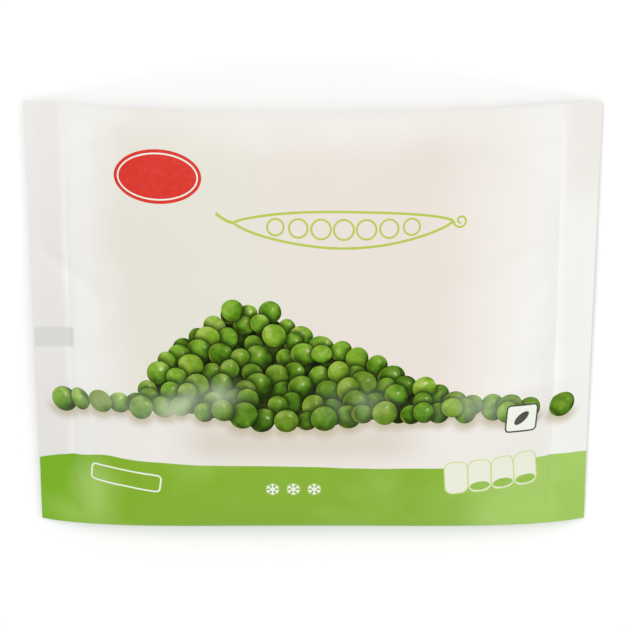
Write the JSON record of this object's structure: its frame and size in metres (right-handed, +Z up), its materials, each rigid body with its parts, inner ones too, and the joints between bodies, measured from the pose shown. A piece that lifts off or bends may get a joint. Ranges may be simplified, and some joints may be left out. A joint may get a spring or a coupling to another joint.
{
  "type": "frozen vegetable bag",
  "caption": "Sealed pillow pouch of frozen peas, lying on its back with its printed front up; flat seal strips at both ends and a fin seam behind.",
  "frame": {"origin": "on the floor, under the middle of the pouch", "axes": "+X along the pouch, to the right of its printed front; +Y towards its top fold; +Z up, out of the printed front"},
  "size_m": [0.23, 0.178, 0.0314],
  "materials": {
    "printed_film": "satin white polyethylene film with a printed green band and a printed heap of peas"
  },
  "bodies": {
    "root": {"film_pouch": "printed_film"}
  },
  "joints": []
}
